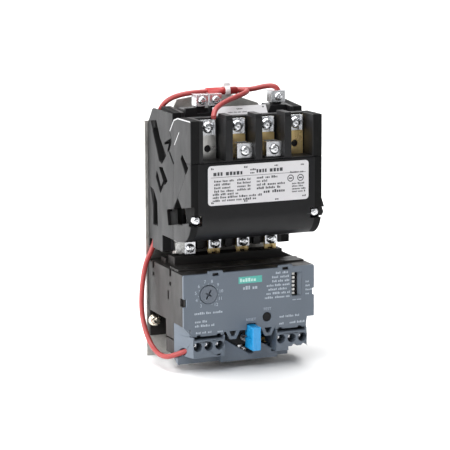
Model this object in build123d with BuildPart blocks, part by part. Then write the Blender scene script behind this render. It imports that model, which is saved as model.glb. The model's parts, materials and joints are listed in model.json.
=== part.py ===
"""Magnetic motor starter: a contactor above an electronic overload relay on one steel plate.

The frame's origin is midway between the two lower mounting holes, on the face of the
plate that meets the panel.  X is across the starter, +Z is up and the front faces -Y.
Most outlines are drawn with two natural measures: depth in front of the panel, and
height above the plate's bottom edge.
"""
import os
from math import pi, radians, tan

from build123d import *

# ---- driving dimensions, mm ----
PLATE_WIDTH = 92.4
PLATE_HEIGHT = 154.4
PLATE = 1.6                      # sheet thickness
MOUNT_HEIGHT = 4.6               # lower mounting holes above the plate's bottom edge
MOUNT_SPACING = 44.0
MOUNT_RADIUS = 2.4
BASE = -MOUNT_HEIGHT             # Z of the plate's bottom edge

CONTACTOR = 44.3                 # half width of the contactor
RELAY = 45.0                     # half width of the overload relay
POLE_PITCH = 19.8
POLE_SHIFT = 1.4                 # the poles sit this far right of the plate's middle
BAY = 15.2                       # clear width of a terminal bay
STRAP_FRONT = 61.6               # depth of the line straps' front faces
LOAD_FRONT = 24.6                # depth of the load straps' front faces
CONTACT_TRAVEL = 5.4
COVER_FRONT = 63.5               # depth of the relay cover's face
RELAY_TOP = 64.3
RELAY_SPLIT = 31.0               # height where the relay's lower moulding starts
LUG_PITCH = 18.5
LUG_SHIFT = 2.1
LEAD = 3.3                       # outer diameter of the red leads

POLES = [POLE_SHIFT + (i - 1.5) * POLE_PITCH for i in range(4)]
BARRIERS = [POLE_SHIFT + (i - 1) * POLE_PITCH for i in range(3)]
LUGS = [LUG_SHIFT + (i - 1) * LUG_PITCH for i in range(3)]
MIN3 = (Align.MIN, Align.MIN, Align.MIN)

os.makedirs("parts", exist_ok=True)


# ---- drawing planes and small tools ----
def front(depth):
    """Plane facing the user: sketch x is X, sketch y is height."""
    return Plane(origin=(0, -depth, BASE), x_dir=(1, 0, 0), z_dir=(0, -1, 0))


def side(x):
    """Plane facing the starter's left: sketch x is depth, sketch y is height."""
    return Plane(origin=(x, 0, BASE), x_dir=(0, -1, 0), z_dir=(-1, 0, 0))


def under(height):
    """Plane facing down: sketch x is X, sketch y is depth."""
    return Plane(origin=(0, 0, BASE + height), x_dir=(1, 0, 0), z_dir=(0, 0, -1))


def at(x, depth, height):
    """Point in the frame from an X, a depth and a height."""
    return (x, -depth, BASE + height)


def block(xs, depths, heights, mode=Mode.ADD):
    """Box between two X positions, two depths and two heights."""
    with Locations(at(xs[0], depths[1], heights[0])):
        Box(xs[1] - xs[0], depths[1] - depths[0], heights[1] - heights[0], align=MIN3, mode=mode)


def prism(plane, points, amount, mode=Mode.ADD):
    """Straight-sided outline pushed out of its plane."""
    with BuildSketch(plane) as outline:
        with BuildLine():
            Polyline(*points, close=True)
        make_face()
    extrude(outline.sketch, amount=amount, mode=mode)


def rod(plane, centre, radius, amount, mode=Mode.ADD):
    """Round bar or hole square to a plane."""
    with BuildSketch(plane) as outline:
        with Locations(centre):
            Circle(radius)
    extrude(outline.sketch, amount=amount, mode=mode)


def screw(place, toward, head, shank, recess="cross"):
    """Pan-head screw: head and shank are (radius, length); the head points along `toward`."""
    axis = Plane(origin=place, z_dir=toward)
    profile = Plane(origin=place, x_dir=axis.x_dir, z_dir=-axis.y_dir)
    with BuildSketch(profile) as half:
        with BuildLine():
            Polyline((0, head[1]), (0, -shank[1]), (shank[0], -shank[1]), (shank[0], 0),
                     (head[0], 0), (head[0], head[1] * 0.45))
            ThreePointArc((head[0], head[1] * 0.45), (head[0] * 0.75, head[1] * 0.87), (0, head[1]))
        make_face()
    revolve(half.sketch, axis=Axis(place, toward))
    turns = (45, 135) if recess == "cross" else (45,)
    with BuildSketch(axis.offset(head[1])) as slots:
        for turn in turns:
            Rectangle(head[0] * 1.35, head[0] * 0.26, rotation=turn)
    extrude(slots.sketch, amount=-head[1] * 0.55, mode=Mode.SUBTRACT)


def coil_spring(start, end, radius, wire, turns):
    """Helical wire between two points on its axis."""
    way = (Vector(*end) - Vector(*start)).normalized()
    rise = (Vector(*end) - Vector(*start)).length - 1.3 * wire
    with BuildLine() as centre:
        helix = Helix(pitch=rise / turns, height=rise, radius=radius,
                      center=Vector(*start) + way * 0.65 * wire, direction=way)
    with BuildSketch(Plane(origin=helix @ 0, z_dir=helix % 0)) as section:
        Circle(wire / 2)
    sweep(section.sketch, path=centre.line, is_frenet=True)


def tube(points, radius):
    """Round cord along straight runs joined by the largest arcs that its runs allow."""
    route = [Vector(*at(*point)) for point in points]
    arcs = []
    for before, corner, after in zip(route, route[1:], route[2:]):
        turn = (corner - before).get_angle(after - corner)
        run = min((corner - before).length, (after - corner).length)
        arcs.append(0.45 * run / tan(radians(turn) / 2))
    with BuildLine() as line:
        FilletPolyline(*route, radius=arcs)
    with BuildSketch(Plane(origin=line.line @ 0, z_dir=line.line % 0)) as section:
        Circle(radius)
    sweep(section.sketch, path=line.line)
    return sum(edge.length for edge in line.edges()), min(arcs)


def save(builder, name):
    """Label a finished piece and write it to its own STEP file."""
    builder.part.label = name
    export_step(builder.part, f"parts/{name}.step")


FRONT = (0, -1, 0)
UP = (0, 0, 1)

# ================= mounting plate =================
with BuildPart() as mounting_plate:
    half = PLATE_WIDTH / 2
    prism(front(0), [(-half, 0), (half, 0), (half, PLATE_HEIGHT), (37, PLATE_HEIGHT), (33, 162),
                     (20, 166.5), (14, 168.5), (-12, 168.5), (-24, 167), (-26, 163),
                     (-27, PLATE_HEIGHT), (-half, PLATE_HEIGHT)], PLATE)
    with BuildSketch(front(0)) as lower_holes:
        with Locations((-MOUNT_SPACING / 2, MOUNT_HEIGHT), (MOUNT_SPACING / 2, MOUNT_HEIGHT)):
            Circle(MOUNT_RADIUS)
    extrude(lower_holes.sketch, amount=PLATE, mode=Mode.SUBTRACT)
    with BuildSketch(front(0)) as keyhole:
        with Locations((2, 158)):
            Circle(4.6)
        with Locations((2, 163)):
            SlotCenterToCenter(5, 4.8, rotation=90)
    extrude(keyhole.sketch, amount=PLATE, mode=Mode.SUBTRACT)
    for x in (-30, 30):
        rod(front(0), (x, 97), 1.6, PLATE, Mode.SUBTRACT)
    for x in (-42, 42):
        rod(front(0), (x, 24), 1.7, PLATE, Mode.SUBTRACT)
save(mounting_plate, "mounting_plate")

# ================= contactor: rear housing =================
TOWER = 36.5                     # inner face of the side towers
WIRE_WELL = (-43.0, -38.0)       # well in the left tower that the long lead runs down

# boundary between the rear and the front housing on the side, bottom to top
SEAM = [(44, 84), (45, 103.5), (47.6, 133), (39.9, 140.1), (44.2, 147), (40.8, 151.9)]


def side_groove(points, deep, face=CONTACTOR):
    """Recess of a straight-sided shape in both side walls."""
    prism(side(-face + deep), points, deep, Mode.SUBTRACT)
    prism(side(face - deep), points, -deep, Mode.SUBTRACT)


with BuildPart() as rear_housing:
    prism(side(CONTACTOR), [(PLATE, 73), (26.5, 73), (26.5, 84), *SEAM, (46, 158.2), (45.5, 164.2),
                            (20, 166.1), (10.6, 163.1), (5, 156.3), (PLATE, 152)], 2 * CONTACTOR)
    block((-TOWER, TOWER), (4.6, 60), (92, 170), Mode.SUBTRACT)
    block((-TOWER, TOWER), (23.4, 27), (72, 84), Mode.SUBTRACT)
    for x in BARRIERS:
        block((x - 2.3, x + 2.3), (23.4, 26.5), (73, 84))
    for x in POLES:
        block((x - 4.4, x + 4.4), (23.2, 46), (87.4, 92.1), Mode.SUBTRACT)
        block((x - 4.4, x + 4.4), (23.2, 27), (72, 92.1), Mode.SUBTRACT)
        rod(front(12), (x, 76), 1.7, 12, Mode.SUBTRACT)
    # well for the long lead, open at the top, through to the bottom
    block(WIRE_WELL, (3.4, 8.8), (72, 150), Mode.SUBTRACT)
    block((-CONTACTOR, WIRE_WELL[1]), (3.4, 8.8), (72, 78.4), Mode.SUBTRACT)
    block(WIRE_WELL, (3.4, 9.8), (142, 152), Mode.SUBTRACT)
    block(WIRE_WELL, (3.4, 13.2), (151.4, 158), Mode.SUBTRACT)
    block(WIRE_WELL, (3.4, 21), (157, 170), Mode.SUBTRACT)
    block((WIRE_WELL[0], -TOWER), (3.4, 23), (157, 170), Mode.SUBTRACT)
    # the tower's outer wall stands lower than the wall beside the coil
    block((-CONTACTOR, WIRE_WELL[0]), (3.4, 45), (163.6, 170), Mode.SUBTRACT)
    # grooves moulded in the flanks
    side_groove([(7.4, 155), (17, 156.6), (23.6, 146), (34.2, 136), (26.6, 129.7), (21.6, 131),
                 (13, 146)], 0.7)
    side_groove([(13.9, 155.8), (16.8, 156.2), (23.2, 146.2), (33.8, 136), (26.6, 130), (21.9, 131.2),
                 (10.9, 148.6), (10.7, 150.9), (13.9, 151.4)], 4.4)
    side_groove([(21.4, 127), (27.5, 127.8), (36.2, 120.2), (31, 116.5)], 3.4)
    side_groove([(17.1, 124), (19.4, 122.3), (24.6, 115), (28.8, 119.4), (29.8, 117.3), (23.6, 110.4),
                 (15.8, 119.8)], 3.2)
    side_groove([(5, 112.4), (11, 111.4), (17.6, 103.8), (18.4, 88.4), (10.4, 88.2), (10.4, 100.8)], 0.7)
    side_groove([(9.9, 109.2), (10.8, 110.9), (17.2, 103.6), (18, 88.8), (10.7, 88.6), (10.7, 101)], 3.2)
    side_groove([(34.6, 101.4), (37, 91.9), (47, 93.9), (47, 103.8)], 2.2)
    # hooked notch and the open slit that runs on from it along the seam
    side_groove([(31.6, 142.6), (31.4, 144), (42, 148), (43, 146.2), (41.2, 140.8), (37, 138.6),
                 (36.6, 139.8), (39, 144.2)], 2.8)
    side_groove([(39.4, 138.4), (46.4, 132), (47.6, 133.4), (40.6, 139.8)], 2.2)
    # holes for the screws into the plate
    for x in (-30, 30):
        rod(front(PLATE), (x, 97), 1.7, 4, Mode.SUBTRACT)
save(rear_housing, "rear_housing")

# ================= contactor: front housing with the line terminal bays =================
BAY_FLOOR = 136.5
BAY_BACK = 60.4
HOUSING_FRONT = 75.5
BAY_TOP = 162.5
COVER_SCREW = 40.0               # X of the arc cover's screws
SLOT = [(58.7, 137.4), (61.2, 140.4), (71.2, 133.2), (67, 128.4)]

with BuildPart() as front_housing:
    prism(side(CONTACTOR), [*SEAM, (47.6, 159.9), (54.4, 162.3), (HOUSING_FRONT, BAY_TOP),
                            (HOUSING_FRONT, 136), (66.5, 136), (64, 130), (66, 126), (54.4, 113.2),
                            (45.4, 104), (45.4, 84)], 2 * CONTACTOR)
    # room for the armature and the contact carrier, behind and below the bays
    block((-TOWER, TOWER), (38, 57.4), (80, 159.6), Mode.SUBTRACT)
    block((-TOWER, TOWER), (57, 80), (80, 134), Mode.SUBTRACT)
    for x in POLES:
        left = max(x - BAY / 2, -CONTACTOR + 7.9)
        right = min(x + BAY / 2, CONTACTOR - 6.3)
        block((left, right), (BAY_BACK, 80), (BAY_FLOOR, 170), Mode.SUBTRACT)
        block((x - 7.1, x + 6.7), (60.3, STRAP_FRONT + 0.1), (130, 137), Mode.SUBTRACT)
        rod(front(55), (x, 156.5), 2.3, 6, Mode.SUBTRACT)
    # lightening slot and a fine groove on each flank
    side_groove(SLOT, 3.5)
    side_groove([(48.2, 145.4), (49.3, 144.8), (56.9, 153.4), (56.1, 154)], 0.6)
    side_groove([(34.6, 101.4), (37, 91.9), (47, 93.9), (47, 103.8)], 2.2)
    # the barriers between the bays stand a little higher than the outer walls
    for x in BARRIERS:
        block((x - 2.2, x + 2.2), (62, HOUSING_FRONT - 0.4), (BAY_TOP - 1, 164.8))
save(front_housing, "front_housing")

# ================= contactor: arc cover =================
with BuildPart() as arc_cover:
    with BuildSketch(side(CONTACTOR)) as profile:
        with BuildLine():
            Polyline((HOUSING_FRONT, 101), (HOUSING_FRONT, 136), (66.5, 136), (64, 130), (66, 126),
                     (54.4, 113.2), (45.4, 104), (45.4, 84), (52, 83.8), (64.6, 85.9))
            ThreePointArc((64.6, 85.9), (72.4, 91.8), (HOUSING_FRONT, 101))
        make_face()
    extrude(profile.sketch, amount=2 * CONTACTOR)
    # hollow inside, with a wall left at the front, the sides and the chin
    with BuildSketch(side(TOWER + 5)) as hollow:
        with BuildLine():
            Polyline((72.8, 101), (72.8, 133.6), (40, 133.6), (40, 86.4), (52, 86.4), (63.6, 88.4))
            ThreePointArc((63.6, 88.4), (70.2, 93.4), (72.8, 101))
        make_face()
    extrude(hollow.sketch, amount=2 * (TOWER + 5), mode=Mode.SUBTRACT)
    # walls between the poles' arc chambers
    for x in BARRIERS:
        block((x - 1, x + 1), (66, 73), (100, 133.6))
    # ear that flares out under the right flank
    prism(front(57), [(CONTACTOR - 2.6, 109.6), (CONTACTOR, 109.6), (CONTACTOR + 3.3, 99.6),
                      (CONTACTOR + 2.2, 97.4), (CONTACTOR - 2.6, 97.4)], HOUSING_FRONT - 57)
    # corner notches that hold the cover screws, with a boss behind each
    for x in (-1, 1):
        block(sorted((x * 36.6, x * 50)), (71.6, 80), (97, 103.6), Mode.SUBTRACT)
        rod(front(63), (x * COVER_SCREW, 100.5), 3.9, 8.6)
        rod(front(60), (x * COVER_SCREW, 100.5), 1.6, 20, Mode.SUBTRACT)
    # rising recess in the left flank, with a star-shaped vent through its floor
    prism(side(-CONTACTOR + 2.2), [(40, 92.5), (40, 102.5), (77, 109.6), (77, 100)], 5, Mode.SUBTRACT)
    prism(side(-CONTACTOR + 4.2), [(52.8, 112.5), (59.4, 106.8), (62, 99), (60.4, 95.8), (47.2, 94.6),
                                   (46.6, 104.4)], 7, Mode.SUBTRACT)
    side_groove(SLOT, 3.5)
    for x in POLES:
        block((x - 4.4, x + 4.4), (45, 56), (87.2, 90.2), Mode.SUBTRACT)
save(arc_cover, "arc_cover")

with BuildPart() as cover_screws:
    for x in (-COVER_SCREW, COVER_SCREW):
        screw(at(x, 71.6, 100.5), FRONT, (2.9, 3.0), (1.25, 8.4), "slot")
save(cover_screws, "cover_screws")

with BuildPart() as nameplate:
    block((-33, 35), (HOUSING_FRONT, HOUSING_FRONT + 0.4), (109.5, 134.2))
    fillet(nameplate.edges().filter_by(Axis.Y), 2.2)
save(nameplate, "nameplate")

# ================= contactor: contacts and terminals =================
TIP = 115.0                      # middle height of the line-side contact tips
LOAD_TIP = 95.0                  # middle height of the load-side contact tips


def line_strap(x):
    """Strap from a line bay down to its fixed contact."""
    block((x - 7, x + 6.6), (60.4, STRAP_FRONT), (131, 160.9))
    block((x - 3.6, x + 3.6), (54, STRAP_FRONT), (129.8, 131))
    block((x - 3.6, x + 3.6), (54, 55.2), (112.5, 129.8))
    rod(front(60), (x + 0.9, 143), 2.2, 3, Mode.SUBTRACT)
    rod(front(60), (x, 156.5), 1.9, 3, Mode.SUBTRACT)


def load_strap(x):
    """Strap from a load-side fixed contact back and down to the lower terminal."""
    block((x - 3.6, x + 3.6), (54, 55.2), (89.5, 97.5))
    block((x - 3.6, x + 3.6), (23.4, 55.2), (88.3, 89.5))
    block((x - 3.9, x + 3.9), (23.4, LOAD_FRONT), (70, 88.3))
    rod(front(23), (x, 76), 1.7, 3, Mode.SUBTRACT)


with BuildPart() as line_terminals:
    for x in POLES[1:]:
        line_strap(x)
save(line_terminals, "line_terminals")

with BuildPart() as auxiliary_line_terminal:
    line_strap(POLES[0])
save(auxiliary_line_terminal, "auxiliary_line_terminal")

with BuildPart() as load_terminals:
    for x in POLES[1:]:
        load_strap(x)
save(load_terminals, "load_terminals")

with BuildPart() as auxiliary_load_terminal:
    load_strap(POLES[0])
    block((POLES[0] - 8.0, POLES[0] - 3.9), (23.4, LOAD_FRONT), (70.6, 80))
    block((POLES[0] - 8.0, POLES[0] - 6.8), (LOAD_FRONT, LOAD_FRONT + 4.2), (71.8, 78.8))
save(auxiliary_load_terminal, "auxiliary_load_terminal")

with BuildPart() as fixed_contact_tips:
    for x in POLES:
        for height in (TIP, LOAD_TIP):
            rod(front(55.2), (x, height), 2.2, 1.2)
save(fixed_contact_tips, "fixed_contact_tips")

with BuildPart() as moving_contacts:
    for x in POLES:
        block((x - 3, x + 3), (63.4, 64.8), (91.8, 118.2))
        for height in (TIP, LOAD_TIP):
            rod(front(62.0), (x, height), 2.2, 1.4)
save(moving_contacts, "moving_contacts")

with BuildPart() as saddle_clamps:
    for x in POLES:
        block((x - 5.2, x + 5.2), (STRAP_FRONT, STRAP_FRONT + 1.3), (151.4, 161.2))
        block((x - 5.2, x - 4.2), (STRAP_FRONT + 1.3, STRAP_FRONT + 3.2), (151.4, 161.2))
        block((x + 4.2, x + 5.2), (STRAP_FRONT + 1.3, STRAP_FRONT + 3.2), (151.4, 161.2))
        rod(front(60), (x, 156.5), 1.9, 6, Mode.SUBTRACT)
    for x in POLES[1:]:
        block((x - 4.3, x + 4.3), (LOAD_FRONT + 1.4, LOAD_FRONT + 2.6), (72.6, 79.6))
        rod(front(LOAD_FRONT), (x, 76), 1.7, 6, Mode.SUBTRACT)
    x = POLES[0]
    block((x - 2.9, x + 4.3), (LOAD_FRONT, LOAD_FRONT + 7.7), (71.3, 79.2))
    block((x - 1.7, x + 3.1), (LOAD_FRONT + 1.2, LOAD_FRONT + 6.5), (70, 80), Mode.SUBTRACT)
    rod(front(LOAD_FRONT + 6), (x + 0.7, 75.2), 1.7, 3, Mode.SUBTRACT)
save(saddle_clamps, "saddle_clamps")

with BuildPart() as terminal_screws:
    for x in POLES:
        screw(at(x, STRAP_FRONT + 1.3, 156.5), FRONT, (3.7, 3.2), (1.85, 7.6))
    for x in POLES[1:]:
        screw(at(x, LOAD_FRONT + 2.6, 76), FRONT, (3.2, 2.6), (1.6, 12))
    screw(at(POLES[0] + 0.7, LOAD_FRONT + 7.7, 75.2), FRONT, (2.8, 2.2), (1.6, 5.5))
save(terminal_screws, "terminal_screws")

# ================= contactor: magnet, coil and armature =================
MAGNET = 132.0                   # height of the magnet's middle
POLE_FACE = 26.0                 # depth of the core's pole faces

with BuildPart() as magnet_core:
    block((-31, 31), (8, 15), (MAGNET - 11, MAGNET + 11))
    for xs in ((-31, -23), (-8, 8), (23, 31)):
        block(xs, (15, POLE_FACE), (MAGNET - 11, MAGNET + 11))
    for xs in ((-29.5, -27.9), (27.9, 29.5)):
        block(xs, (POLE_FACE - 1.4, POLE_FACE), (MAGNET - 12, MAGNET + 12), Mode.SUBTRACT)
save(magnet_core, "magnet_core")

with BuildPart() as shading_rings:
    for way in (-1, 1):
        block(sorted((way * 27.9, way * 32.4)), (POLE_FACE - 1.4, POLE_FACE),
              (MAGNET - 12.2, MAGNET + 12.2))
        block(sorted((way * 29.5, way * 31)), (POLE_FACE - 1.4, POLE_FACE),
              (MAGNET - 11, MAGNET + 11), Mode.SUBTRACT)
save(shading_rings, "shading_rings")

with BuildPart() as magnet_cushions:
    for x in (-22, 22):
        block((x - 8, x + 8), (4.6, 8), (MAGNET - 10, MAGNET + 10))
save(magnet_cushions, "magnet_cushions")

with BuildPart() as coil_bobbin:
    block((-10, 10), (15.2, 30), (MAGNET - 13, MAGNET + 13))
    for depths in ((15.2, 17.2), (28, 30)):
        block((-21.5, 21.5), depths, (MAGNET - 21, MAGNET + 20))
    block((-8.3, 8.3), (14, 31), (MAGNET - 11.3, MAGNET + 11.3), Mode.SUBTRACT)
    # neck and the two terminal shoulders that stand between the towers
    block((-14, 14), (17.2, 30), (MAGNET + 18, MAGNET + 20))
    block((-36, 36), (26, 30), (MAGNET + 20, MAGNET + 25))
    prism(front(26), [(-36, 153), (-33, 165), (-8.5, 165), (-6, 158.5), (-6, 153)], 11.6)
    prism(front(37.6), [(-34.6, 153), (-33, 166), (-15.9, 166), (-13.8, 158.6), (-13.8, 153)], 2.4)
    block((-25.4, -17), (36, 41), (162.4, 167), Mode.SUBTRACT)
    prism(front(26), [(22, 153), (22, 158), (25, 165), (36, 165), (36, 153)], 14)
    block((-6, 22), (26, 38), (153, 158))
    prism(side(20), [(38, 153), (44, 155), (45.4, 158), (40.4, 165.4), (38, 165.4)], 34.5)
    for x in (-21.2, -11.6, 31.2):
        block((x - 3, x + 3), (31, 35.8), (164, 166.4))
save(coil_bobbin, "coil_bobbin")

with BuildPart() as coil_winding:
    block((-20.5, 20.5), (17.2, 28), (MAGNET - 20, MAGNET + 17.9))
    block((-10, 10), (17, 29), (MAGNET - 13, MAGNET + 13), Mode.SUBTRACT)
    fillet(coil_winding.edges().filter_by(Axis.Y).group_by(SortBy.DISTANCE)[-1], 5)
save(coil_winding, "coil_winding")

COIL_CLAMPS = [(-21.2, 30.6), (-11.6, 29.8), (31.2, 30.6)]

with BuildPart() as coil_clamps:
    for x, depth in COIL_CLAMPS:
        wide = 4.1 if x < 0 else 4.9
        block((x - wide, x + wide), (depth, depth + 7.6), (166.4, 173.8))
        block((x - wide + 1, x + wide - 1), (depth + 1, depth + 6.6), (165, 172.8), Mode.SUBTRACT)
        rod(front(depth + 6), (x, 170), 1.6, 3, Mode.SUBTRACT)
    rod(under(175), (33, 34.5), 2.4, 3, Mode.SUBTRACT)
save(coil_clamps, "coil_clamps")

with BuildPart() as coil_clamp_screws:
    for x, depth in COIL_CLAMPS:
        screw(at(x, depth + 7.6, 170), FRONT, (2.6, 1.8), (1.55, 5.4))
save(coil_clamp_screws, "coil_clamp_screws")

with BuildPart() as coil_label:
    prism(side(21), [(45.4, 158.0), (46.2, 158.5), (41.2, 165.9), (40.4, 165.4)], 36.5)
save(coil_label, "coil_label")

with BuildPart() as armature:
    block((-31, 31), (POLE_FACE + 9.6, POLE_FACE + 16), (MAGNET - 11, MAGNET + 11))
    for xs in ((-31, -23), (-7.6, 7.6), (23, 31)):
        block(xs, (POLE_FACE + CONTACT_TRAVEL + 0.3, POLE_FACE + 9.6), (MAGNET - 11, MAGNET + 11))
    rod(front(30), (0, MAGNET), 2.0, 15, Mode.SUBTRACT)
save(armature, "armature")

with BuildPart() as armature_rivet:
    rod(front(POLE_FACE + CONTACT_TRAVEL + 0.5), (0, MAGNET), 1.95, 16)
    rod(front(47.5), (0, MAGNET), 3.4, 1.4)
save(armature_rivet, "armature_rivet")

with BuildPart() as contact_carrier:
    block((-35.6, 35.6), (42, 46), (99.4, 146))
    block((-35.6, 35.6), (46, 50), (100, 110))
    for x in POLES:
        left = max(x - 4.6, -35.6)
        block((left, x + 4.6), (50, 71), (100, 110))
        block((x - 3.1, x + 3.1), (60.6, 68.8), (99, 111), Mode.SUBTRACT)
    rod(front(46), (0, MAGNET), 3.6, 1.5)
    rod(front(41), (0, MAGNET), 1.95, 8, Mode.SUBTRACT)
    for x in (-27, 27):
        rod(front(42), (x, 104), 2.6, 2.0, Mode.SUBTRACT)
save(contact_carrier, "contact_carrier")

with BuildPart() as contact_springs:
    for x in POLES:
        coil_spring(at(x, 64.8, 105), at(x, 68.8, 105), 1.9, 0.5, 4)
save(contact_springs, "contact_springs")

with BuildPart() as return_springs:
    for x in (-27, 27):
        coil_spring(at(x, 4.6, 104), at(x, 44, 104), 2.0, 0.6, 11)
save(return_springs, "return_springs")

# screws that hold the contactor, their heads sunk in the housing floor
with BuildPart() as contactor_screws:
    for x in (-30, 30):
        screw(at(x, 4.6, 97), FRONT, (3.0, 2.0), (1.55, 4.6))
save(contactor_screws, "contactor_screws")

# ================= overload relay: places of its controls =================
DIAL = (-28.1, 51.1)
DIAL_RADIUS = 5.65
TEST = (12.0, 33.2)
RESET = (1.3, 21.5)
RESET_SIZE = (5.7, 15.2)
STEM = 26.3                      # height of the reset button's stem
LEVER = (44.6, 15.4)             # depth and height of the trip lever's pivot
DIP_X = (29.2, 36.0)
DIP_PITCH = 2.54
DIP_H = (45.2, 60.4)

# ================= overload relay: body =================
BODY_FRONT = 61.5
COLUMN = (33, 46.6)              # depths of the lower columns behind the terminal blocks
FOOT = 4.6                       # depth of the foot tabs' front faces
BOARD = (52.0, 53.6)             # depths of the circuit board's faces
RIDGE_TOP = 69.8                 # height of the ridge in front of the bus bars

with BuildPart() as relay_body:
    block((-RELAY, RELAY), (PLATE, BODY_FRONT), (RELAY_SPLIT, RELAY_TOP))
    block((-RELAY, RELAY), COLUMN, (10, RELAY_SPLIT))
    block((-33, 33), (PLATE, COLUMN[1]), (10, RELAY_SPLIT))
    block((-RELAY, RELAY), (PLATE, FOOT), (13.7, RELAY_SPLIT))
    # raised ridge round the bus bars, stepped at both ends
    block((-40, 42), (12, 20.2), (RELAY_TOP, 67.6))
    prism(front(20), [(-38, RELAY_TOP - 1), (-38, RIDGE_TOP), (34, RIDGE_TOP), (43.6, RELAY_TOP),
                      (43.6, RELAY_TOP - 1)], 11)
    block((-43, 44), (36, 50), (RELAY_TOP, 65.4))
    block((-42.8, 42.8), (FOOT, BODY_FRONT), (33.2, 62.2), Mode.SUBTRACT)
    block((-31, 31), (FOOT, COLUMN[1] + 1), (12, 33.3), Mode.SUBTRACT)
    for x in POLES[1:]:
        block((x - 4.6, x + 4.6), (23.8, 27.4), (60, 71), Mode.SUBTRACT)
    for x in LUGS:
        block((x - 4.6, x + 4.6), (38.2, COLUMN[1] + 1), (9, 13), Mode.SUBTRACT)
    block((TEST[0] - 3.8, TEST[0] + 3.8), (BOARD[0], BODY_FRONT), (30, 33.3), Mode.SUBTRACT)
    # slots and holes in both flanks
    for points in ([(10, 60), (13, 60), (13, RELAY_TOP), (10, RELAY_TOP)],
                   [(39.8, 60), (42.6, 60), (42.6, RELAY_TOP + 2), (39.8, RELAY_TOP + 2)],
                   [(36.5, 44.6), (38.4, 44.6), (38.4, 50.2), (36.5, 50.2)],
                   [(58.2, 44), (BODY_FRONT, 44), (BODY_FRONT, 49.2), (58.2, 49.2)]):
        side_groove(points, 1.6, RELAY)
    for depth, height in ((11.4, 56.1), (41, 55.2)):
        side_groove([(depth - 1.4, height - 1.2), (depth + 1.4, height - 1.2),
                     (depth + 1.4, height + 1.2), (depth - 1.4, height + 1.2)], 1.2, RELAY)
    side_groove([(COLUMN[0], 19.4), (COLUMN[1], 19.4), (COLUMN[1], 20.4), (COLUMN[0], 20.4)],
                1.2, RELAY)
    for x in (-42, 42):
        rod(front(0), (x, 24), 1.8, 8, Mode.SUBTRACT)
    # posts that carry the circuit board
    for x in (-38, 38):
        for height in (38, 58):
            rod(front(FOOT), (x, height), 2.5, 47.4)
            rod(front(44), (x, height), 1.0, 10, Mode.SUBTRACT)
save(relay_body, "relay_body")

# screws with captive washers that hold the relay's feet to the plate
with BuildPart() as foot_screws:
    for x in (-42, 42):
        rod(front(FOOT), (x, 24), 4.1, 0.8)
        screw(at(x, FOOT + 0.8, 24), FRONT, (3.8, 2.6), (1.65, FOOT + 0.8))
save(foot_screws, "foot_screws")

# ================= overload relay: power path =================
CT_HEIGHTS = (17, 31)
BAR = 25.3                       # depth of the bars' middle plane
LUG_FRONT = 48.4

with BuildPart() as bus_bars:
    for top, low in zip(POLES[1:], LUGS):
        prism(front(LOAD_FRONT), [(top - 4, 80), (top - 4, 56), (low - 3, 47), (low - 3, 13.2),
                                  (low + 3, 13.2), (low + 3, 47), (top + 4, 56), (top + 4, 80)], 1.4)
        block((low - 3, low + 3), (LOAD_FRONT + 1.4, 41.2), (13.2, 14.6))
        block((low - 3, low + 3), (39.8, 41.2), (7, 13.2))
        # arched window under the terminal screw
        block((top - 1.7, top + 1.7), (LOAD_FRONT, 27), (66, 70.3), Mode.SUBTRACT)
        rod(front(LOAD_FRONT), (top, 70.3), 1.7, 2, Mode.SUBTRACT)
        rod(front(LOAD_FRONT), (top, 76), 1.7, 2, Mode.SUBTRACT)
save(bus_bars, "bus_bars")

with BuildPart() as current_transformers:
    for x in LUGS:
        with BuildSketch(under(CT_HEIGHTS[1])) as ring:
            with Locations((x, BAR)):
                Circle(8.9)
                Circle(4.4, mode=Mode.SUBTRACT)
        extrude(ring.sketch, amount=CT_HEIGHTS[1] - CT_HEIGHTS[0])
    fillet(current_transformers.edges().filter_by(GeomType.CIRCLE), 1.6)
save(current_transformers, "current_transformers")

# two box lugs on the middle line straps and three under the bars
with BuildPart() as box_lugs:
    for x in POLES[1:3]:
        x = x + 2.2
        block((x - 5.2, x + 5.2), (STRAP_FRONT, STRAP_FRONT + 9.4), (137, 146.4))
        block((x - 3.9, x + 3.9), (STRAP_FRONT + 1.2, STRAP_FRONT + 8.2), (136, 148), Mode.SUBTRACT)
        rod(front(STRAP_FRONT + 7), (x, 141.6), 1.9, 3, Mode.SUBTRACT)
    for x in LUGS:
        block((x - 4.2, x + 4.2), (38.6, LUG_FRONT), (6.4, 12.8))
        block((x - 3.1, x + 3.1), (39.8, LUG_FRONT - 1.2), (6, 13), Mode.SUBTRACT)
        rod(front(LUG_FRONT - 2), (x, 9.8), 1.7, 3, Mode.SUBTRACT)
save(box_lugs, "box_lugs")

with BuildPart() as box_lug_screws:
    for x in POLES[1:3]:
        screw(at(x + 2.2, STRAP_FRONT + 9.4, 141.6), FRONT, (3.2, 2.2), (1.85, 3.0), "slot")
    for x in LUGS:
        screw(at(x, LUG_FRONT, 9.8), FRONT, (2.9, 2.0), (1.65, 2.4))
save(box_lug_screws, "box_lug_screws")

# ================= overload relay: lower moulding with its terminal blocks =================
BLOCK_FRONT = 65.0
BLOCK_TOP = 24.4
LEFT_BLOCK = (-39.1, -17.5)
RIGHT_BLOCK = (17.7, 39.1)
HOLE_HEIGHT = 18.2
HOLES = [-35.9, -28.5, -21.1, 21.3, 28.7, 36.1]

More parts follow.
